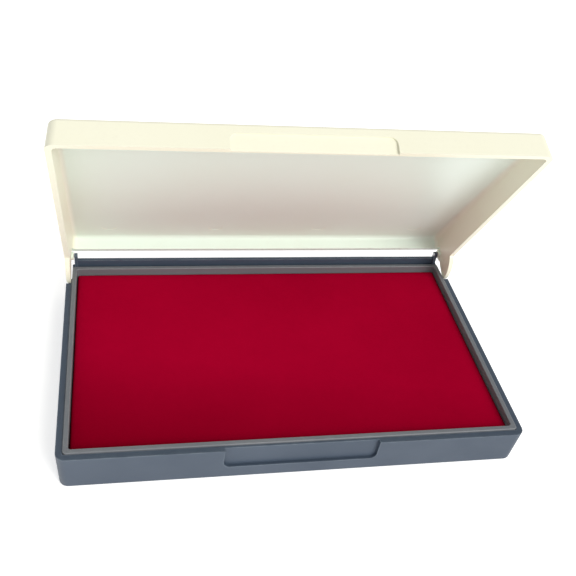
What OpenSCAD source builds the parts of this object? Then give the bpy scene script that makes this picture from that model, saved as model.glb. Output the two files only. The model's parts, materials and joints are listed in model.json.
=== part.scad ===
// Hinged desk stamp pad, modelled as its separate pieces.
// Millimetres. X runs along the case, Y from front to back, Z up.
// The origin is the middle of the base's underside. The lid is drawn open.

/* [Case] */
// Length of the closed case
case_w = 157; // [140:1:190]
// Depth of the closed case, front to back
case_d = 96; // [80:1:116]
// Height of the ledge that the lid closes on
base_h = 14.4; // [12.4:0.1:18]
// Thickness of the base's side walls, which is also the width of the ledge
base_wall = 2.1; // [1.8:0.05:2.6]
// Thickness of the base's floor
floor_t = 1.6; // [1:0.1:2.4]
// How much smaller the underside is than the ledge, on each side
base_draft = 0.6; // [0:0.05:1.2]
// Rounding of the base's bottom edge
foot_r = 0.9; // [0.3:0.1:1.5]
// Radius of the case's upright corners
corner_r = 3; // [3:0.25:8]

/* [Lid] */
// Height of the lid, rim to top, at the front
lid_h = 9.3; // [8.4:0.1:14]
// How much higher the lid's top is at the back than at the front
lid_back_rise = 5; // [0:0.25:6]
// Thickness of the lid's side walls
lid_wall = 1.8; // [1.4:0.05:2]
// Thickness of the lid's top
lid_top = 1.5; // [1:0.1:2]
// Height of the straight band above the lid's rim
rim_band = 0.3; // [0.1:0.1:1]
// How much smaller the lid's top is than its rim, on each side
lid_draft = 0.9; // [0:0.05:1.2]
// Rounding of the lid's top edge
lid_edge_r = 1.2; // [0.4:0.1:1.6]
// Rounding inside, where the walls meet the top
lid_inner_r = 1.6; // [0.5:0.1:2.5]
// Gap between the lid's rim and the ledge when the lid is closed
closing_gap = 0.1; // [0.05:0.05:0.3]
// How far the lid is open, from closed
lid_open = 60; // [0:1:105]

/* [Finger recess] */
// Length of the finger recess along the front
recess_w = 52; // [30:1:80]
// Depth of the recess into the base's front wall
base_recess_in = 1.4; // [0.6:0.1:1.5]
// Depth of the recess into the lid's front wall
lid_recess_in = 1.1; // [0.5:0.1:1.2]
// How far the recess reaches down the base
base_recess_h = 8.6; // [5:0.1:10]
// How far the recess reaches up the lid
lid_recess_h = 5.8; // [3:0.1:6.5]
// Radius of the recess's corners
recess_r = 2.3; // [1:0.1:2.8]

/* [Hinge] */
// Diameter of the hinge pins
pin_d = 1.2; // [1:0.1:1.4]
// Distance of the hinge axis in front of the back face
pin_in = 1.05; // [1:0.05:1.2]
// Height of the hinge axis over the ledge
pin_rise = 5.15; // [4.8:0.05:5.5]
// Thickness of the two upright hinge lugs, along X
lug_t = 1.2; // [0.8:0.1:2]
// Gap between a lug and the lid's hinge boss
lug_gap = 0.3; // [0.15:0.05:0.5]
// Length of the lid's hinge bosses, along X
boss_l = 0.85; // [0.4:0.05:1.5]
// Radius of the lid's hinge bosses
boss_r = 1.6; // [1.2:0.1:1.8]
// Radius of the lid's round hinge ears
ear_r = 11.5; // [8:0.25:12.5]
// Radius of the knuckles that stand out behind the lid's ears
knuckle_r = 3; // [2:0.1:3.5]
// How far a knuckle stands in from the case's side
knuckle_in = 0.7; // [0.5:0.1:0.9]
// Gap between an ear and its seat in the base
ear_gap = 0.3; // [0.2:0.05:0.5]
// Height of the sill over the ledge, along the back
sill_rise = 3.1; // [1.5:0.1:3.2]
// Thickness of the sill
sill_t = 1.5; // [1:0.1:1.8]
// Height of the lid's back edge over the ledge, when closed
back_edge_rise = 7.4; // [6.8:0.1:7.8]
// Radial clearance of a pin in the lid
run_gap = 0.05; // [0.02:0.01:0.1]
// Radial clearance of a pin in its lug
seat_gap = 0.02; // [0.01:0.01:0.04]
// How far a pin reaches into the lid's wall, as a share of the wall
pin_reach = 0.4; // [0.2:0.05:0.5]

/* [Pad tray] */
// Gap between the tray and the base's walls
tray_gap = 0.08; // [0.04:0.02:0.2]
// Thickness of the tray's walls, seen as the collar round the pad
tray_wall = 1.7; // [1.2:0.1:2.5]
// Height of the collar over the ledge
collar_rise = 0.65; // [0.3:0.05:1.2]
// Thickness of the tray's floor
tray_floor = 1.2; // [0.8:0.1:1.6]
// Radius of the well's corners
well_r = 1.0; // [0.3:0.1:2]
// Thickness of the ribs under the tray's floor
rib_t = 1.2; // [0.8:0.1:2]
// Number of ribs across the tray
rib_count = 5; // [2:1:9]

/* [Pad] */
// Depth of the cloth's face below the collar
well_depth = 2.45; // [1.5:0.05:3.5]
// Thickness of the cloth cover
cloth_t = 0.5; // [0.3:0.05:0.8]
// Thickness of the top felt
top_felt_t = 1.7; // [1:0.1:2.2]
// Thickness of the ink reservoir felt
reservoir_t = 2.2; // [1.5:0.1:2.6]
// Thickness of the backing board
board_t = 1.5; // [1:0.1:1.8]
// Gap between the pad and the tray's walls
pad_gap = 0.15; // [0.05:0.05:0.4]
// Gap between neighbouring layers of the pad
layer_gap = 0.02; // [0.01:0.01:0.05]

/* [Hidden] */

slate = [0.34, 0.38, 0.45];
slate_light = [0.42, 0.46, 0.50];
cream = [0.96, 0.93, 0.82];
crimson = [0.62, 0.01, 0.14];
felt_grey = [0.70, 0.66, 0.62];
board_brown = [0.55, 0.42, 0.28];
steel = [0.75, 0.76, 0.78];

eps = 0.01;                       // thickness of a slab inside a hull
cut = 1;                          // how far a cut runs past a face
smooth = 32;                      // facets of a rounded corner
round_fn = 64;                    // facets of a bore, pin or ear
edge_steps = 15;                  // degrees between slabs of a rounded edge
least_r = 0.4;                    // smallest radius of an upright corner
ear_inset = 0.05;                 // how far an ear stands in from the lid's wall

axis_y = case_d / 2 - pin_in;
axis_z = base_h + pin_rise;
rim_z = base_h + closing_gap;
ear_in = case_w / 2 - lid_wall - ear_inset;     // inner face of an ear
seat_in = ear_in - ear_gap;                     // the base's face beside an ear
boss_in = ear_in - boss_l;
lug_out = boss_in - lug_gap;
lug_in = lug_out - lug_t;
pin_end = ear_in + lid_wall * pin_reach;        // a pin stops short of the lid's outer face
lid_slope = lid_back_rise / case_d;

tray_w = case_w - 2 * (base_wall + tray_gap);
tray_d = case_d - 2 * (base_wall + tray_gap);
well_w = tray_w - 2 * tray_wall;
well_d = tray_d - 2 * tray_wall;
collar_z = base_h + collar_rise;
cloth_z = collar_z - well_depth;
pad_w = well_w - 2 * pad_gap;
pad_d = well_d - 2 * pad_gap;
core_w = pad_w - 2 * (cloth_t + layer_gap);
core_d = pad_d - 2 * (cloth_t + layer_gap);
top_felt_z = cloth_z - cloth_t - layer_gap - top_felt_t;
reservoir_z = top_felt_z - layer_gap - reservoir_t;
board_z = reservoir_z - layer_gap - board_t;
tray_floor_z = board_z - layer_gap - tray_floor;

// A rectangle with round corners, centred on the origin
module round_rect(w, d, r) {
    square([w - 2 * r, d], center = true);
    square([w, d - 2 * r], center = true);
    for (x = [-1, 1], y = [-1, 1])
        translate([x * (w / 2 - r), y * (d / 2 - r)]) circle(r, $fn = smooth);
}

// One thin level of a drafted shell, drawn in by a distance on each side
module level(z, inset, w = case_w, d = case_d, r = corner_r) {
    translate([0, 0, z]) linear_extrude(eps)
        round_rect(w - 2 * inset, d - 2 * inset, max(r - inset, least_r));
}

// The base's outside, up to a height
module base_outside(top) {
    hull() {
        for (a = [0 : edge_steps : 90])
            level(foot_r * (1 - sin(a)), base_draft + foot_r * (1 - cos(a)));
        level(base_h - eps, 0);
        level(top - eps, 0);
    }
}

// Slopes what is level, so that it climbs from the front of the case to the back
module sloped() {
    multmatrix([[1, 0, 0, 0], [0, 1, 0, 0], [0, lid_slope, 1, lid_back_rise / 2], [0, 0, 0, 1]])
        children();
}

// The lid's outside, closed, from its rim to its top
module lid_outside() {
    hull() {
        level(rim_z, 0);
        level(rim_z + rim_band - eps, 0);
        sloped() for (a = [0 : edge_steps : 90])
            level(rim_z + lid_h - eps - lid_edge_r * (1 - sin(a)), lid_draft + lid_edge_r * (1 - cos(a)));
    }
}

// The lid's hollow, closed
module lid_hollow() {
    ceiling = rim_z + lid_h - lid_top;
    in_w = case_w - 2 * lid_wall;
    in_d = case_d - 2 * lid_wall;
    in_r = corner_r - lid_wall;
    hull() {
        level(rim_z - cut, 0, in_w, in_d, in_r);
        sloped() for (a = [0 : edge_steps : 90])
            level(ceiling - eps - lid_inner_r * (1 - sin(a)), lid_draft + lid_inner_r * (1 - cos(a)),
                  in_w, in_d, in_r + lid_inner_r);
    }
}

// A block across the front wall, square at the height z0 and with round corners a height h from it
module recess(z0, h, depth) {
    square_end = -sign(h) * abs(h) / 4;
    translate([0, -case_d / 2 + depth, z0 + h / 2]) rotate([90, 0, 0])
        linear_extrude(depth + cut) {
            round_rect(recess_w, abs(h), recess_r);
            translate([0, square_end]) square([recess_w, abs(h) / 2], center = true);
        }
}

// A cylinder along X about the hinge axis, from one distance to another, on one side
module on_axis(side, from, to, r) {
    translate([side * (from + to) / 2, axis_y, axis_z]) rotate([0, 90, 0])
        cylinder(r = r, h = to - from, center = true, $fn = round_fn);
}

// One upright hinge lug with a round head
module lug(side) {
    head_r = pin_in;                  // the lug's back is flush with the case
    translate([side > 0 ? lug_in : -lug_out, axis_y - head_r, base_h - eps])
        cube([lug_t, 2 * head_r, pin_rise + eps]);
    on_axis(side, lug_in, lug_out, head_r);
}

module base_shell() {
    color(slate) difference() {
        union() {
            difference() {
                base_outside(base_h);
                translate([0, 0, floor_t]) linear_extrude(base_h)
                    round_rect(case_w - 2 * base_wall, case_d - 2 * base_wall, corner_r - base_wall);
                for (side = [-1, 1])
                    on_axis(side, seat_in, case_w / 2 + cut, ear_r + ear_gap);
                recess(base_h + cut, -(base_recess_h + cut), base_recess_in);
            }
            translate([-lug_out, case_d / 2 - sill_t, base_h - eps])
                cube([2 * lug_out, sill_t, sill_rise + eps]);
            for (side = [-1, 1]) lug(side);
        }
        for (side = [-1, 1]) on_axis(side, lug_in - cut, lug_out + cut, pin_d / 2 + seat_gap);
    }
}

module pad_tray() {
    rib_h = tray_floor_z - floor_t;
    color(slate_light) {
        difference() {
            translate([0, 0, floor_t]) linear_extrude(collar_z - floor_t)
                round_rect(tray_w, tray_d, corner_r - base_wall - tray_gap);
            translate([0, 0, tray_floor_z + tray_floor]) linear_extrude(base_h)
                round_rect(well_w, well_d, well_r);
            translate([0, 0, floor_t - cut]) linear_extrude(rib_h + cut)
                round_rect(well_w, well_d, well_r);
        }
        for (i = [1 : rib_count])
            translate([-well_w / 2 + i * well_w / (rib_count + 1) - rib_t / 2, -well_d / 2 - eps, floor_t])
                cube([rib_t, well_d + 2 * eps, rib_h + eps]);
    }
}

// One layer of the pad inside the cloth
module layer(z, t) {
    translate([0, 0, z]) linear_extrude(t) round_rect(core_w, core_d, well_r);
}

module backing_board() color(board_brown) layer(board_z, board_t);

module felt_reservoir() color(felt_grey) layer(reservoir_z, reservoir_t);

module felt_top() color(felt_grey) layer(top_felt_z, top_felt_t);

// The cloth lies over the felts and is folded down their sides
module ink_cloth() {
    color(crimson) difference() {
        translate([0, 0, board_z]) linear_extrude(cloth_z - board_z) round_rect(pad_w, pad_d, well_r);
        translate([0, 0, board_z - cut]) linear_extrude(cloth_z - cloth_t - board_z + cut)
            round_rect(pad_w - 2 * cloth_t, pad_d - 2 * cloth_t, well_r);
    }
}

// The lid as it lies when closed
module closed_lid() {
    difference() {
        union() {
            difference() {
                union() {
                    lid_outside();
                    intersection() {
                        base_outside(rim_z + 2 * eps);
                        for (side = [-1, 1]) on_axis(side, ear_in, case_w / 2 + cut, ear_r);
                    }
                }
                lid_hollow();
                translate([-ear_in, axis_y - boss_r - lid_wall, -cut])
                    cube([2 * ear_in, case_d, base_h + back_edge_rise + cut]);
            }
            for (side = [-1, 1]) {
                on_axis(side, boss_in, ear_in + eps, boss_r);
                on_axis(side, ear_in, case_w / 2 - knuckle_in, knuckle_r);
            }
        }
        for (side = [-1, 1]) on_axis(side, boss_in - eps, pin_end + run_gap, pin_d / 2 + run_gap);
        recess(rim_z - cut, lid_recess_h + cut, lid_recess_in);
    }
}

module lid_shell() {
    color(cream) translate([0, axis_y, axis_z]) rotate([-lid_open, 0, 0])
        translate([0, -axis_y, -axis_z]) closed_lid();
}

module hinge_pin(side) {
    color(steel) on_axis(side, lug_in, pin_end, pin_d / 2);
}

base_shell();
pad_tray();
backing_board();
felt_reservoir();
felt_top();
ink_cloth();
lid_shell();
hinge_pin(-1);  // hinge_pin_left
hinge_pin(1);  // hinge_pin_right
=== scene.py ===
import json
import math

import bmesh
import bpy
from mathutils import Matrix, Vector, noise


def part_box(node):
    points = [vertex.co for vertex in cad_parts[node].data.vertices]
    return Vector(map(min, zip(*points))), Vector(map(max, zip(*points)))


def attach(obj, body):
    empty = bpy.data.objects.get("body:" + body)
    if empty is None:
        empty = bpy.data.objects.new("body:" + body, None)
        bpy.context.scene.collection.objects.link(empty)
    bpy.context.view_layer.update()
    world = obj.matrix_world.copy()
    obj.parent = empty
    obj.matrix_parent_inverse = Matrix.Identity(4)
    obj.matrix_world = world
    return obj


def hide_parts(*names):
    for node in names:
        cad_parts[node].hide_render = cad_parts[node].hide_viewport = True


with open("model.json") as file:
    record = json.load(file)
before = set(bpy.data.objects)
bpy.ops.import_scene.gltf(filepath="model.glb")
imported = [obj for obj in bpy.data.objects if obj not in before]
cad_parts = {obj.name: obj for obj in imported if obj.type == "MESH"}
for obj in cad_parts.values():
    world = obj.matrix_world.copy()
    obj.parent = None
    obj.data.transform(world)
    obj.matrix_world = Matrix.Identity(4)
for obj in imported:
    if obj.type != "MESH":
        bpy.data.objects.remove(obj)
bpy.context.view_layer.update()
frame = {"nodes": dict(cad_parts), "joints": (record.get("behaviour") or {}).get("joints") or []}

tiny = 1e-5                       # how close two heights count as the same
over = 0.001                      # how far a cutter runs past a face
broad = 3e-5                      # area from which a face counts as broad
unitAxis = 0.99                   # how squarely a face has to look along an axis

caseLow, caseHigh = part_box("base_shell")
trayLow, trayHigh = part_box("pad_tray")
clothLow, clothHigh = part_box("ink_cloth")
hinge = next(joint for joint in frame["joints"] if joint["name"] == "lid_hinge")
hingePoint = Vector(hinge["pos_m"])
openAngle = -math.radians(hinge["range_deg"][0])      # how far the lid stands open at rest

halfWidth, halfDepth = caseHigh.x, caseHigh.y


def deselectAll():
    if bpy.context.object and bpy.context.object.mode != "OBJECT":
        bpy.ops.object.mode_set(mode="OBJECT")
    bpy.ops.object.select_all(action="DESELECT")


def makeActive(piece):
    deselectAll()
    piece.select_set(True)
    bpy.context.view_layer.objects.active = piece


def placeInMesh(name):
    piece = bpy.context.object
    piece.name = piece.data.name = name
    bpy.ops.object.transform_apply(location=True, rotation=True, scale=True)
    return piece


def addBlock(name, low, high):
    low, high = Vector(low), Vector(high)
    deselectAll()
    bpy.ops.mesh.primitive_cube_add(size=1, location=(low + high) / 2)
    bpy.context.object.scale = high - low
    return placeInMesh(name)


def addRod(name, start, end, radius, centre=hingePoint, sides=64):      # along X
    deselectAll()
    bpy.ops.mesh.primitive_cylinder_add(vertices=sides, radius=radius, depth=abs(end - start),
                                        location=((start + end) / 2, centre.y, centre.z),
                                        rotation=(0, math.pi / 2, 0))
    return placeInMesh(name)


def editPart(piece, kind, test):      # goes into edit mode with what passes the test selected
    makeActive(piece)
    bpy.ops.object.mode_set(mode="EDIT")
    bpy.ops.mesh.select_mode(type=kind)
    bpy.ops.mesh.select_all(action="DESELECT")
    shape = bmesh.from_edit_mesh(piece.data)
    shape.normal_update()
    for item in {"VERT": shape.verts, "EDGE": shape.edges, "FACE": shape.faces}[kind]:
        if test(item):
            item.select_set(True)
    shape.select_flush_mode()
    bmesh.update_edit_mesh(piece.data)


def endEdit():
    bpy.ops.object.mode_set(mode="OBJECT")


def isUpright(edge):
    a, b = (vert.co for vert in edge.verts)
    return abs(a.x - b.x) < tiny and abs(a.y - b.y) < tiny


def atHeight(height):
    return lambda edge: all(abs(vert.co.z - height) < tiny for vert in edge.verts)


def facing(axis, sign, height):      # faces that look along an axis and lie at a height on it
    return lambda face: (face.normal[axis] * sign > unitAxis
                         and abs(face.calc_center_median()[axis] - height) < tiny)


def roundEdges(piece, test, radius, steps):
    editPart(piece, "EDGE", test)
    bpy.ops.mesh.bevel(offset=radius, offset_type="OFFSET", segments=steps, affect="EDGES")
    endEdit()


def addRounded(name, low, high, radius, steps=8):      # a block with round upright edges
    block = addBlock(name, low, high)
    roundEdges(block, isUpright, radius, steps)
    return block


def drawIn(piece, height, inset):      # moves the level at a height in by the same distance on each side
    editPart(piece, "VERT", lambda vert: abs(vert.co.z - height) < tiny)
    reach = [max(abs(vert.co[i]) for vert in piece.data.vertices) for i in (0, 1)]
    bpy.ops.transform.resize(value=(1 - inset / reach[0], 1 - inset / reach[1], 1),
                             center_override=(0, 0, height))
    endEdit()


def sinkFace(piece, test, wall, depth):      # insets a face and pushes it in along Z
    editPart(piece, "FACE", test)
    bpy.ops.mesh.inset(thickness=wall, use_even_offset=True)
    bpy.ops.mesh.extrude_region_move(TRANSFORM_OT_translate={"value": (0, 0, depth)})
    endEdit()


def combine(piece, tool, operation):      # a Boolean that uses the tool up
    makeActive(piece)
    modifier = piece.modifiers.new("combine", "BOOLEAN")
    modifier.operation, modifier.solver, modifier.object = operation, "EXACT", tool
    bpy.ops.object.modifier_apply(modifier="combine")
    bpy.data.objects.remove(tool, do_unlink=True)


def softenEdges(piece, width, steps=3, angle=38):
    makeActive(piece)
    modifier = piece.modifiers.new("soften", "BEVEL")
    modifier.width, modifier.segments = width, steps
    modifier.limit_method, modifier.angle_limit = "ANGLE", math.radians(angle)
    modifier.miter_outer = "MITER_ARC"
    bpy.ops.object.modifier_apply(modifier="soften")


def smoothShade(piece, angle=40):
    makeActive(piece)
    bpy.ops.object.shade_smooth_by_angle(angle=math.radians(angle))
    modifier = piece.modifiers.new("even", "WEIGHTED_NORMAL")
    modifier.keep_sharp, modifier.weight = True, 100
    bpy.ops.object.modifier_apply(modifier="even")
    normals = [corner.vector.copy() for corner in piece.data.corner_normals]
    for face in piece.data.polygons:      # broad faces are shaded flat right up to their edges
        if face.area > broad:
            for i in face.loop_indices:
                normals[i] = face.normal.copy()
    piece.data.normals_split_custom_set(normals)


def addRecess(name, values, squareEnd, roundEnd):      # the cutter for the finger recess
    low, high = sorted((squareEnd, roundEnd))
    cutter = addBlock(name, (-values["recessWidth"] / 2, -halfDepth - over, low),
                      (values["recessWidth"] / 2, -halfDepth + values["recessDepth"], high))
    roundEdges(cutter, lambda edge: all(abs(vert.co.z - roundEnd) < tiny for vert in edge.verts)
               and abs(edge.verts[0].co.x - edge.verts[1].co.x) < tiny, values["recessRadius"], 8)
    return cutter


# the slate base with its ledge, sill and hinge lugs

baseValues = {
    "ledgeHeight": 0.0144, "wall": 0.0021, "floor": 0.0016,
    "cornerRadius": 0.003, "cornerSteps": 10, "draft": 0.0006,
    "footRadius": 0.0009, "footSteps": 5,
    "recessWidth": 0.052, "recessDepth": 0.0014, "recessHeight": 0.0086, "recessRadius": 0.0023,
    "seatRadius": 0.0118, "seatIn": 0.07635,
    "sillThickness": 0.0015, "sillRise": 0.0031,
    "lugOut": 0.0755, "lugThickness": 0.0012, "lugRadius": 0.00105, "boreRadius": 0.00062,
    "edgeSoftness": 0.00022,
    "undersidePanel": 0.007, "undersideDepth": 0.0003,
}


def makeCaseBlock(name, top):      # the outside of the base, up to a height
    values = baseValues
    block = addRounded(name, (-halfWidth, -halfDepth, 0), (halfWidth, halfDepth, top),
                       values["cornerRadius"], values["cornerSteps"])
    drawIn(block, 0, values["draft"])
    roundEdges(block, atHeight(0), values["footRadius"], values["footSteps"])
    return block


def makeBaseShell():
    values = baseValues
    ledge = values["ledgeHeight"]
    shell = makeCaseBlock("baseShell", ledge)
    sinkFace(shell, facing(2, 1, ledge), values["wall"], values["floor"] - ledge)
    sinkFace(shell, facing(2, -1, 0), values["undersidePanel"], values["undersideDepth"])
    for side in (-1, 1):
        combine(shell, addRod("seat", side * values["seatIn"], side * (halfWidth + over),
                              values["seatRadius"], sides=96), "DIFFERENCE")
    combine(shell, addRecess("recess", values, ledge + over, ledge - values["recessHeight"]), "DIFFERENCE")
    out, thick = values["lugOut"], values["lugThickness"]
    combine(shell, addBlock("sill", (-out, halfDepth - values["sillThickness"], ledge - over),
                            (out, halfDepth, ledge + values["sillRise"])), "UNION")
    for side in (-1, 1):
        low, high = sorted((side * out, side * (out - thick)))
        combine(shell, addBlock("lug", (low, hingePoint.y - values["lugRadius"], ledge - over / 2),
                                (high, hingePoint.y + values["lugRadius"], hingePoint.z)), "UNION")
        combine(shell, addRod("head", low, high, values["lugRadius"], sides=32), "UNION")
        combine(shell, addRod("bore", low - over, high + over, values["boreRadius"], sides=32), "DIFFERENCE")
    softenEdges(shell, values["edgeSoftness"])
    smoothShade(shell)
    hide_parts("base_shell")
    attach(shell, "base")
    return shell


# the tray that holds the pad, with its collar

trayValues = {
    "wall": 0.0017, "cornerRadius": 0.0013, "wellRadius": 0.001,
    "floorTop": 0.00662, "floorUnder": 0.00542, "ribs": 5, "ribThickness": 0.0012,
    "edgeSoftness": 0.0003,
}


def makePadTray():
    values = trayValues
    tray = addRounded("padTray", trayLow, trayHigh, values["cornerRadius"])
    x, y = trayHigh.x - values["wall"], trayHigh.y - values["wall"]
    combine(tray, addRounded("well", (-x, -y, values["floorTop"]), (x, y, trayHigh.z + over),
                             values["wellRadius"]), "DIFFERENCE")
    combine(tray, addRounded("under", (-x, -y, trayLow.z - over), (x, y, values["floorUnder"]),
                             values["wellRadius"]), "DIFFERENCE")
    innerWidth = 2 * x
    reach = trayHigh.y - values["wall"] / 2
    for i in range(1, values["ribs"] + 1):
        x = -innerWidth / 2 + i * innerWidth / (values["ribs"] + 1)
        half = values["ribThickness"] / 2
        combine(tray, addBlock("rib", (x - half, -reach, trayLow.z),
                               (x + half, reach, values["floorUnder"] + half)), "UNION")
    softenEdges(tray, values["edgeSoftness"])
    smoothShade(tray)
    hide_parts("pad_tray")
    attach(tray, "base")
    return tray


# the pad's layers under the cloth

layerValues = {"cornerRadius": 0.001, "sideRoom": 0.0003, "boardSoftness": 0.0002, "feltSoftness": 0.0005}


def makeLayer(name, node, softness):
    low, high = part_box(node)
    room = Vector((layerValues["sideRoom"], layerValues["sideRoom"], 0))
    layer = addBlock(name, low + room, high - room)
    roundEdges(layer, isUpright, layerValues["cornerRadius"], 6)
    softenEdges(layer, softness)
    smoothShade(layer)
    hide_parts(node)
    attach(layer, "base")
    return layer


# the inked cloth, folded down the pad's sides

clothValues = {
    "columns": 108, "rows": 64, "thickness": 0.0005, "inset": 0.00002,
    "unevenness": 0.00007, "unevenSize": 0.021,       # how far the face wavers, and over what distance
    "edgePull": 0.00022, "edgePullSize": 0.013,       # how far the side edges are drawn in between the tucks
    "edgeDip": 0.00025, "dipReach": 0.004, "firstFold": 0.0012, "looseAbove": 0.003,
}


def makeInkCloth():
    values = clothValues
    width, depth = (side - 2 * values["inset"] for side in (clothHigh - clothLow).xy)
    deselectAll()
    bpy.ops.mesh.primitive_grid_add(x_subdivisions=values["columns"], y_subdivisions=values["rows"], size=1,
                                    location=(0, 0, clothHigh.z))
    bpy.context.object.scale = (width, depth, 1)
    cloth = placeInMesh("inkCloth")
    fold = values["firstFold"]
    for drop in (fold, clothHigh.z - clothLow.z - fold):      # two rows fold down the pad's sides
        editPart(cloth, "EDGE", lambda edge: edge.is_boundary)
        bpy.ops.mesh.extrude_region_move(TRANSFORM_OT_translate={"value": (0, 0, -drop)})
        endEdit()
    for vert in cloth.data.vertices:
        x, y, z = vert.co
        edge = min(width / 2 - abs(x), depth / 2 - abs(y))
        waver = noise.noise(Vector((x, y, 0)) / values["unevenSize"])
        pull = values["edgePull"] * (0.5 + 0.5 * noise.noise(Vector((x, y, 3)) / values["edgePullSize"]))
        if z > clothLow.z + values["looseAbove"]:
            dip = max(0, 1 - edge / values["dipReach"]) ** 2 * values["edgeDip"]
            vert.co.z -= values["unevenness"] * (1 + waver) * 0.5 + dip
        if edge < tiny:
            if width / 2 - abs(x) < tiny:
                vert.co.x -= math.copysign(pull, x)
            if depth / 2 - abs(y) < tiny:
                vert.co.y -= math.copysign(pull, y)
    makeActive(cloth)
    thicken = cloth.modifiers.new("thicken", "SOLIDIFY")
    thicken.thickness, thicken.offset, thicken.use_even_offset = values["thickness"], -1, True
    bpy.ops.object.modifier_apply(modifier="thicken")
    rounding = cloth.modifiers.new("rounding", "SUBSURF")
    rounding.levels = rounding.render_levels = 1
    bpy.ops.object.modifier_apply(modifier="rounding")
    bpy.ops.object.shade_smooth()
    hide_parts("ink_cloth")
    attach(cloth, "base")
    return cloth


# the cream lid

lidValues = {
    "rimHeight": 0.0145, "rise": 0.0093, "backRise": 0.005, "wall": 0.0018, "top": 0.0015, "draft": 0.0009,
    "edgeRadius": 0.0012, "innerRadius": 0.0016, "innerCorner": 0.00175,
    "cornerSteps": 10, "edgeSteps": 6,
    "earRadius": 0.0115, "earIn": 0.07665, "backEdge": 0.0218, "backCut": 0.04355,
    "bossIn": 0.0758, "bossRadius": 0.0016, "boreRadius": 0.00065, "boreEnd": 0.07742,
    "knuckleIn": 0.07685, "knuckleOut": 0.0778, "knuckleRadius": 0.003,
    "recessWidth": 0.052, "recessDepth": 0.0011, "recessHeight": 0.0058, "recessRadius": 0.0023,
    "edgeSoftness": 0.00025,
    "insideShare": 0.9,      # how much of a wall's thickness counts as outside, for the inside tint, which is painted light
    "ejectorRadius": 0.0028, "ejectorDepth": 0.00012, "ejectorX": (-0.062, -0.021, 0.021, 0.062),
    "ejectorY": (-0.037, 0.035),
}


def turnToRest(piece):      # the lid is modelled closed and then swung open about the hinge
    editPart(piece, "VERT", lambda vert: True)
    bpy.ops.transform.rotate(value=openAngle, orient_axis="X", center_override=hingePoint)
    endEdit()
    high = max(vert.co.z for vert in piece.data.vertices)
    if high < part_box("lid_shell")[1].z / 2:      # the operator turned it the other way
        editPart(piece, "VERT", lambda vert: True)
        bpy.ops.transform.rotate(value=-2 * openAngle, orient_axis="X", center_override=hingePoint)
        endEdit()


def climb(y):      # how much higher the lid's top is here than at the front
    return lidValues["backRise"] * (y + halfDepth) / (2 * halfDepth)


def slopeTop(lid, rim, ceiling):      # leaves the rim level and slopes everything from the ceiling up
    for vert in lid.data.vertices:
        vert.co.z += climb(vert.co.y) * max(0, min(1, (vert.co.z - rim) / (ceiling - rim)))


def markInside(lid, ceiling):      # marks the hollow's faces for the material's inside tint, which is painted light, its side walls less
    reach = lidValues["wall"] * lidValues["insideShare"]
    mark = lid.data.attributes.new("inside", "FLOAT", "FACE")
    for face in lid.data.polygons:
        x, y, z = face.center
        within = (halfWidth - abs(x) > reach and halfDepth - abs(y) > reach
                  and lidValues["rimHeight"] + tiny < z < ceiling + climb(y) + 2 * lidValues["ejectorDepth"])
        mark.data[face.index].value = 1 - abs(face.normal.x) if within else 0.0


def makeLidShell():
    values = lidValues
    rim, top = values["rimHeight"], values["rimHeight"] + values["rise"]
    ceiling = top - values["top"]
    lid = addRounded("lidShell", (-halfWidth, -halfDepth, rim), (halfWidth, halfDepth, top),
                     baseValues["cornerRadius"], values["cornerSteps"])
    drawIn(lid, top, values["draft"])
    roundEdges(lid, atHeight(top), values["edgeRadius"], values["edgeSteps"])
    x, y = halfWidth - values["wall"], halfDepth - values["wall"]
    hollow = addRounded("hollow", (-x, -y, rim - over), (x, y, ceiling), values["innerCorner"])
    drawIn(hollow, ceiling, values["draft"])
    roundEdges(hollow, atHeight(ceiling), values["innerRadius"], values["edgeSteps"])
    for part in (lid, hollow):
        slopeTop(part, rim, ceiling - values["innerRadius"])
    combine(lid, hollow, "DIFFERENCE")
    for side in (-1, 1):
        ear = addRod("ear", side * values["earIn"], side * (halfWidth + over), values["earRadius"], sides=128)
        combine(ear, makeCaseBlock("case", rim + tiny), "INTERSECT")
        combine(lid, ear, "UNION")
    combine(lid, addBlock("back", (-values["earIn"], values["backCut"], 0),
                          (values["earIn"], halfDepth + over, values["backEdge"])), "DIFFERENCE")
    for side in (-1, 1):
        combine(lid, addRod("boss", side * values["bossIn"], side * (values["earIn"] + tiny),
                            values["bossRadius"], sides=48), "UNION")
        combine(lid, addRod("knuckle", side * values["knuckleIn"], side * values["knuckleOut"],
                            values["knuckleRadius"]), "UNION")
        combine(lid, addRod("bore", side * (values["bossIn"] - over), side * values["boreEnd"],
                            values["boreRadius"], sides=32), "DIFFERENCE")
    combine(lid, addRecess("recess", values, rim - over, rim + values["recessHeight"]), "DIFFERENCE")
    slope = math.atan(values["backRise"] / (2 * halfDepth))
    for x in values["ejectorX"]:
        for y in values["ejectorY"]:
            deselectAll()
            bpy.ops.mesh.primitive_cylinder_add(vertices=40, radius=values["ejectorRadius"],
                                                depth=2 * values["ejectorDepth"],
                                                location=(x, y, ceiling + climb(y)),
                                                rotation=(slope, 0, 0))
            combine(lid, placeInMesh("ejector"), "DIFFERENCE")
    softenEdges(lid, values["edgeSoftness"])
    markInside(lid, ceiling)
    turnToRest(lid)
    smoothShade(lid)
    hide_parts("lid_shell")
    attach(lid, "lid")
    return lid


# groups shared by the materials

def newGroup(name, inputs, outputs):
    group = bpy.data.node_groups.new(name, "ShaderNodeTree")
    for label, value in inputs:
        group.interface.new_socket(label, in_out="INPUT", socket_type="NodeSocketFloat").default_value = value
    for label in outputs:
        group.interface.new_socket(label, in_out="OUTPUT", socket_type="NodeSocketFloat")
    return group, group.nodes.new("NodeGroupInput"), group.nodes.new("NodeGroupOutput")


def setSocket(tree, socket, source):
    if isinstance(source, bpy.types.NodeSocket):
        tree.links.new(source, socket)
    else:
        socket.default_value = source


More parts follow.
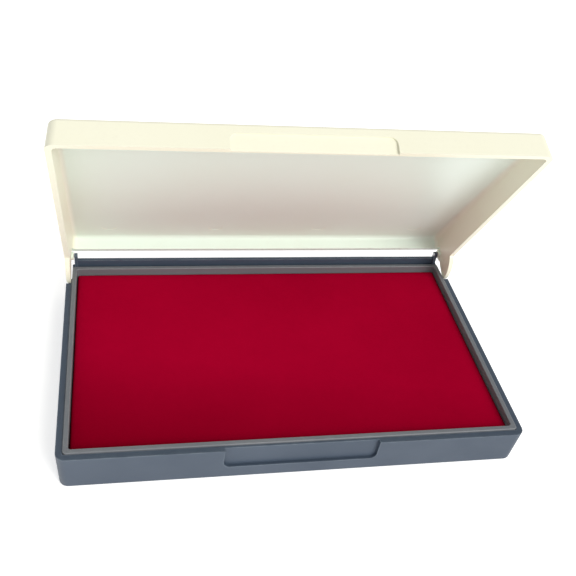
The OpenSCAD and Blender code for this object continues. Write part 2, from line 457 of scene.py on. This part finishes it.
def addNode(tree, kind, links=(), **settings):      # links are (input, output socket or value)
    node = tree.nodes.new(kind)
    for key, value in settings.items():
        setattr(node, key, value)
    for name, source in links:
        setSocket(tree, node.inputs[name], source)
    return node


def addMath(tree, operation, a, b=0.0, c=0.0, clamp=False):
    return addNode(tree, "ShaderNodeMath", [(0, a), (1, b), (2, c)],
                   operation=operation, use_clamp=clamp).outputs[0]


def addNoise(tree, place, scale, detail, roughness=0.5):
    return addNode(tree, "ShaderNodeTexNoise", [("Vector", place), ("Scale", scale), ("Detail", detail),
                                                ("Roughness", roughness)])


def objectPlace(tree):
    return addNode(tree, "ShaderNodeTexCoord").outputs["Object"]


def addRange(tree, value, fromLow, fromHigh, toLow=0.0, toHigh=1.0):
    return addNode(tree, "ShaderNodeMapRange", [
        ("Value", value), ("From Min", fromLow), ("From Max", fromHigh),
        ("To Min", toLow), ("To Max", toHigh)]).outputs[0]


def makeMouldGrain():
    group, given, result = newGroup("mouldGrain", [("Grain Scale", 2200.0), ("Patch Scale", 45.0)],
                                    ["Height", "Patches"])
    place = objectPlace(group)
    grain = addNoise(group, place, given.outputs["Grain Scale"], 3.0, 0.6).outputs["Fac"]
    patches = addNoise(group, place, given.outputs["Patch Scale"], 4.0, 0.55).outputs["Fac"]
    group.links.new(grain, result.inputs["Height"])
    group.links.new(addRange(group, patches, 0.3, 0.7), result.inputs["Patches"])
    return group


def makeEdgeWearAndHighlight():
    group, given, result = newGroup("edgeWearAndHighlight", [("Reach", 0.0005), ("Amount", 0.6)], ["Mask"])
    place = objectPlace(group)
    # lightens convex edges: partly real edge wear, partly a painted highlight along the edges
    inner = addNode(group, "ShaderNodeAmbientOcclusion", [("Distance", given.outputs["Reach"])],
                    inside=True, only_local=True, samples=6).outputs["AO"]
    edgeBreakup = addNoise(group, place, 260.0, 3.0).outputs["Fac"]
    edge = addRange(group, inner, 0.92, 0.55)
    broken = addRange(group, edgeBreakup, 0.35, 0.62, 0.35, 1.0)
    wornAndHighlighted = addMath(group, "MULTIPLY", edge, broken)
    mask = addMath(group, "MULTIPLY", wornAndHighlighted, given.outputs["Amount"], clamp=True)
    group.links.new(mask, result.inputs["Mask"])
    return group


def makeDustAndShade():
    group, given, result = newGroup("dustAndShade", [("Amount", 0.3), ("Reach", 0.003)], ["Mask"])
    place = objectPlace(group)
    corner = addNode(group, "ShaderNodeAmbientOcclusion", [("Distance", given.outputs["Reach"])],
                     only_local=False, samples=6).outputs["AO"]
    normal = addNode(group, "ShaderNodeNewGeometry").outputs["Normal"]
    up = addNode(group, "ShaderNodeSeparateXYZ", [(0, normal)])
    specks = addNoise(group, place, 700.0, 5.0, 0.7).outputs["Fac"]
    drift = addNoise(group, place, 60.0, 2.0).outputs["Fac"]
    lying = addMath(group, "MULTIPLY", addRange(group, up.outputs["Z"], 0.2, 0.9),
                    addRange(group, specks, 0.5, 0.75))
    # corners and hollows take the colour as well: real dust on the grey and cream plastics, painted shade on
    # the slate, whose colour for it is near black
    settledAndShaded = addMath(group, "ADD", lying, addRange(group, corner, 0.75, 0.35, 0.0, 0.6))
    uneven = addMath(group, "MULTIPLY", settledAndShaded, addRange(group, drift, 0.3, 0.7, 0.3, 1.0))
    mask = addMath(group, "MULTIPLY", uneven, given.outputs["Amount"], clamp=True)
    group.links.new(mask, result.inputs["Mask"])
    return group


def makeWeave():
    group, given, result = newGroup("weave", [("Thread Spacing", 0.00034)], ["Height", "Gaps"])
    place = objectPlace(group)
    bend = addNoise(group, place, 90.0, 2.0).outputs["Color"]
    shift = addNode(group, "ShaderNodeVectorMath", [(0, bend), ("Scale", 0.0004)], operation="SCALE")
    bent = addNode(group, "ShaderNodeVectorMath", [(0, place), (1, shift.outputs[0])], operation="ADD")
    split = addNode(group, "ShaderNodeSeparateXYZ", [(0, bent.outputs[0])])
    turn = addMath(group, "DIVIDE", math.pi, given.outputs["Thread Spacing"])
    across = addMath(group, "MULTIPLY", split.outputs["X"], turn)
    along = addMath(group, "MULTIPLY", split.outputs["Y"], turn)
    warp = addMath(group, "ABSOLUTE", addMath(group, "SINE", across))
    weft = addMath(group, "ABSOLUTE", addMath(group, "SINE", along))
    # which thread lies on top changes from crossing to crossing
    turnOver = addMath(group, "MULTIPLY", addMath(group, "SINE", across), addMath(group, "SINE", along))
    share = addRange(group, turnOver, -0.4, 0.4)
    over = addMath(group, "MULTIPLY", warp, share)
    under = addMath(group, "MULTIPLY", weft, addMath(group, "SUBTRACT", 1.0, share))
    height = addMath(group, "ADD", over, under)
    group.links.new(height, result.inputs["Height"])
    # the gaps between threads give the mask for painted shade
    gaps = addRange(group, addMath(group, "MAXIMUM", warp, weft), 0.5, 0.15)
    group.links.new(gaps, result.inputs["Gaps"])
    return group


mouldGrain, edgeWearAndHighlight, dustAndShade, weave = makeMouldGrain(), makeEdgeWearAndHighlight(), makeDustAndShade(), makeWeave()


def startMaterial(name):
    material = bpy.data.materials.new(name)
    material.use_nodes = True
    tree = material.node_tree
    tree.nodes.clear()
    shader = tree.nodes.new("ShaderNodeBsdfPrincipled")
    output = tree.nodes.new("ShaderNodeOutputMaterial")
    tree.links.new(shader.outputs[0], output.inputs["Surface"])
    return material, tree, shader


def useGroup(tree, group, **values):
    node = tree.nodes.new("ShaderNodeGroup")
    node.node_tree = group
    for name, value in values.items():
        node.inputs[name].default_value = value
    return node


def mixColour(tree, mask, a, b, blend="MIX"):
    node = addNode(tree, "ShaderNodeMix", data_type="RGBA", blend_type=blend)
    for socket, value in (("Factor", mask), (6, a), (7, b)):
        setSocket(tree, node.inputs[socket], (*value, 1.0) if isinstance(value, tuple) else value)
    return node.outputs[2]


def addBump(tree, shader, height, strength, distance):
    bump = addNode(tree, "ShaderNodeBump",
                   [("Height", height), ("Strength", strength), ("Distance", distance)])
    tree.links.new(bump.outputs[0], shader.inputs["Normal"])


def makePlastic(name, values):
    material, tree, shader = startMaterial(name)
    grain = useGroup(tree, mouldGrain, **{"Grain Scale": values["grainScale"],
                                          "Patch Scale": values["patchScale"]})
    wearAndHighlight = useGroup(tree, edgeWearAndHighlight, Reach=values["wearAndHighlightReach"], Amount=values["wearAndHighlight"])
    dustAndShadeFilm = useGroup(tree, dustAndShade, Amount=values["dustAndShade"], Reach=0.003)
    tone = mixColour(tree, grain.outputs["Patches"], values["colour"], values["patchColour"])
    # the inside tint makes the hollow cooler and less yellow: partly the outside's yellowing with age, partly
    # painted light that cancels the red light the pad bounces into the lid
    if "insideTint" in values:
        inside = addNode(tree, "ShaderNodeAttribute", attribute_name="inside").outputs["Fac"]
        tone = mixColour(tree, inside, tone, values["insideTint"], "MULTIPLY")
    # the light edge colour is partly wear and partly a painted highlight
    wornAndHighlighted = mixColour(tree, wearAndHighlight.outputs["Mask"], tone, values["wornAndHighlightColour"])
    tree.links.new(mixColour(tree, dustAndShadeFilm.outputs["Mask"], wornAndHighlighted, values["dustAndShadeColour"]),
                   shader.inputs["Base Color"])
    roughness = values["roughness"]
    dull = addRange(tree, grain.outputs["Patches"], 0.0, 1.0, roughness - 0.05, roughness + 0.05)
    dustAndShadeRoughness = addMath(tree, "MULTIPLY_ADD", dustAndShadeFilm.outputs["Mask"], 0.3, dull, clamp=True)
    tree.links.new(dustAndShadeRoughness, shader.inputs["Roughness"])
    addBump(tree, shader, grain.outputs["Height"], values["grainStrength"], 0.00003)
    shader.inputs["IOR"].default_value = 1.5
    return material


# the slate's dust colour is near black: it darkens the corners and hollows, the ledges beside the collar
# among them, as painted shade, and lays dark specks on upward faces
slateMaterial = makePlastic("slatePlastic", {
    "colour": (0.046, 0.067, 0.101), "patchColour": (0.039, 0.058, 0.089), "wornAndHighlightColour": (0.20, 0.25, 0.30),
    "dustAndShadeColour": (0.018, 0.022, 0.020), "roughness": 0.5, "grainScale": 2600.0, "patchScale": 40.0,
    "grainStrength": 0.35, "wearAndHighlightReach": 0.0005, "wearAndHighlight": 0.45, "dustAndShade": 0.3,
})
greyMaterial = makePlastic("greyPlastic", {
    "colour": (0.150, 0.160, 0.178), "patchColour": (0.132, 0.142, 0.160), "wornAndHighlightColour": (0.42, 0.45, 0.46),
    "dustAndShadeColour": (0.40, 0.38, 0.36), "roughness": 0.38, "grainScale": 2600.0, "patchScale": 40.0,
    "grainStrength": 0.30, "wearAndHighlightReach": 0.0004, "wearAndHighlight": 0.6, "dustAndShade": 0.12,
})
creamMaterial = makePlastic("creamPlastic", {
    "colour": (0.86, 0.855, 0.70), "patchColour": (0.84, 0.83, 0.665), "wornAndHighlightColour": (0.90, 0.90, 0.80),
    "dustAndShadeColour": (0.62, 0.56, 0.46), "roughness": 0.33, "grainScale": 1500.0, "patchScale": 22.0,
    "insideTint": (0.93, 1.07, 1.18),
    "grainStrength": 0.08, "wearAndHighlightReach": 0.0005, "wearAndHighlight": 0.25, "dustAndShade": 0.10,
})


def makeClothMaterial():
    material, tree, shader = startMaterial("inkedCloth")
    threads = useGroup(tree, weave, **{"Thread Spacing": 0.00034})
    soak = useGroup(tree, mouldGrain, **{"Grain Scale": 900.0, "Patch Scale": 26.0})
    inked = mixColour(tree, soak.outputs["Patches"], (0.37, 0.0008, 0.023), (0.33, 0.0004, 0.020))
    # the cloth darkens towards its front left corner
    place = objectPlace(tree)
    split = addNode(tree, "ShaderNodeSeparateXYZ", [(0, place)])
    drawn = addMath(tree, "MULTIPLY_ADD", split.outputs["X"], 0.2, split.outputs["Y"])
    deep = mixColour(tree, addRange(tree, drawn, -0.012, -0.056), inked, (0.20, 0.0, 0.010))
    # the gaps between the threads are darkened as painted shade
    tree.links.new(mixColour(tree, threads.outputs["Gaps"], deep, (0.18, 0.0, 0.010)),
                   shader.inputs["Base Color"])
    tree.links.new(addRange(tree, soak.outputs["Patches"], 0.0, 1.0, 0.62, 0.74), shader.inputs["Roughness"])
    addBump(tree, shader, threads.outputs["Height"], 0.35, 0.00006)
    shader.inputs["Specular IOR Level"].default_value = 0.0
    return material


def makeFeltMaterial():
    material, tree, shader = startMaterial("inkedFelt")
    fibre = useGroup(tree, mouldGrain, **{"Grain Scale": 1400.0, "Patch Scale": 120.0})
    tree.links.new(mixColour(tree, fibre.outputs["Patches"], (0.36, 0.02, 0.05), (0.22, 0.0, 0.02)),
                   shader.inputs["Base Color"])
    shader.inputs["Roughness"].default_value = 0.95
    addBump(tree, shader, fibre.outputs["Height"], 0.8, 0.0002)
    return material


def makeBoardMaterial():
    material, tree, shader = startMaterial("hardboard")
    fibre = useGroup(tree, mouldGrain, **{"Grain Scale": 1900.0, "Patch Scale": 300.0})
    tree.links.new(mixColour(tree, fibre.outputs["Patches"], (0.30, 0.19, 0.10), (0.20, 0.12, 0.06)),
                   shader.inputs["Base Color"])
    shader.inputs["Roughness"].default_value = 0.8
    addBump(tree, shader, fibre.outputs["Height"], 0.5, 0.0001)
    return material


def makeSteelMaterial():
    material, tree, shader = startMaterial("drawnWire")
    drawn = useGroup(tree, mouldGrain, **{"Grain Scale": 3500.0, "Patch Scale": 400.0})
    tree.links.new(mixColour(tree, drawn.outputs["Patches"], (0.56, 0.57, 0.59), (0.45, 0.45, 0.46)),
                   shader.inputs["Base Color"])
    tree.links.new(addRange(tree, drawn.outputs["Height"], 0.3, 0.7, 0.25, 0.4), shader.inputs["Roughness"])
    shader.inputs["Metallic"].default_value = 1.0
    return material


def paint(piece, material):
    piece.data.materials.clear()
    piece.data.materials.append(material)


print("base shell")
paint(makeBaseShell(), slateMaterial)
print("pad tray")
paint(makePadTray(), greyMaterial)
print("pad layers")
feltMaterial = makeFeltMaterial()
paint(makeLayer("backingBoard", "backing_board", layerValues["boardSoftness"]), makeBoardMaterial())
paint(makeLayer("feltReservoir", "felt_reservoir", layerValues["feltSoftness"]), feltMaterial)
paint(makeLayer("feltTop", "felt_top", layerValues["feltSoftness"]), feltMaterial)
print("inked cloth")
paint(makeInkCloth(), makeClothMaterial())
print("lid")
paint(makeLidShell(), creamMaterial)
steelMaterial = makeSteelMaterial()
for pin in ("hinge_pin_left", "hinge_pin_right"):
    paint(frame["nodes"][pin], steelMaterial)


# floor, light and camera

stageValues = {
    "floorSize": 6.0, "floorColour": (0.93, 0.93, 0.93), "floorGlow": 0.5,
    "worldColour": (1.0, 1.0, 1.0), "worldStrength": 0.55,
    "keyStrength": 2.3, "keySoftness": 35, "keyAzimuth": 35, "keyHeight": 35, "keyColour": (1.0, 0.98, 0.94),
}
cameraValues = {
    "location": (-0.0579, -0.2035, 0.2157), "yaw": 15.66, "pitch": -39.48, "roll": 9.33, "lens": 49.05,
}


def makeStage():
    values = stageValues
    deselectAll()
    bpy.ops.mesh.primitive_plane_add(size=values["floorSize"], location=(0, 0, -0.0001))
    floor = placeInMesh("floor")
    material, tree, shader = startMaterial("paleFloor")
    shader.inputs["Base Color"].default_value = (*values["floorColour"], 1)
    shader.inputs["Roughness"].default_value = 0.9
    shader.inputs["Emission Color"].default_value = (1, 1, 1, 1)
    shader.inputs["Emission Strength"].default_value = values["floorGlow"]
    paint(floor, material)
    world = bpy.data.worlds.new("softBox")
    world.use_nodes = True
    background = world.node_tree.nodes["Background"]
    background.inputs["Color"].default_value = (*values["worldColour"], 1)
    background.inputs["Strength"].default_value = values["worldStrength"]
    bpy.context.scene.world = world
    azimuth, height = math.radians(values["keyAzimuth"]), math.radians(values["keyHeight"])
    toLight = Vector((math.sin(azimuth) * math.cos(height), -math.cos(azimuth) * math.cos(height),
                      math.sin(height)))
    light = bpy.data.lights.new("key", "SUN")
    light.energy, light.color = values["keyStrength"], values["keyColour"]
    light.angle = math.radians(values["keySoftness"])
    lamp = bpy.data.objects.new("key", light)
    lamp.location = toLight
    lamp.rotation_euler = toLight.to_track_quat("Z", "Y").to_euler()
    bpy.context.scene.collection.objects.link(lamp)


def makeCamera():
    values = cameraValues
    yaw, pitch, roll = (math.radians(values[name]) for name in ("yaw", "pitch", "roll"))
    ahead = Vector((math.sin(yaw) * math.cos(pitch), math.cos(yaw) * math.cos(pitch), math.sin(pitch)))
    right = Vector((math.cos(yaw), -math.sin(yaw), 0))
    up = right.cross(ahead)
    rightRolled = right * math.cos(roll) + up * math.sin(roll)
    upRolled = up * math.cos(roll) - right * math.sin(roll)
    camera = bpy.data.objects.new("camera", bpy.data.cameras.new("camera"))
    camera.data.sensor_width, camera.data.lens = 36, values["lens"]
    camera.data.clip_start = 0.01
    turn = Matrix((rightRolled, upRolled, -ahead)).transposed().to_4x4()
    camera.matrix_world = Matrix.Translation(values["location"]) @ turn
    bpy.context.scene.collection.objects.link(camera)
    bpy.context.scene.camera = camera


print("stage and camera")
makeStage()
makeCamera()
bpy.context.scene.view_settings.view_transform = "Standard"
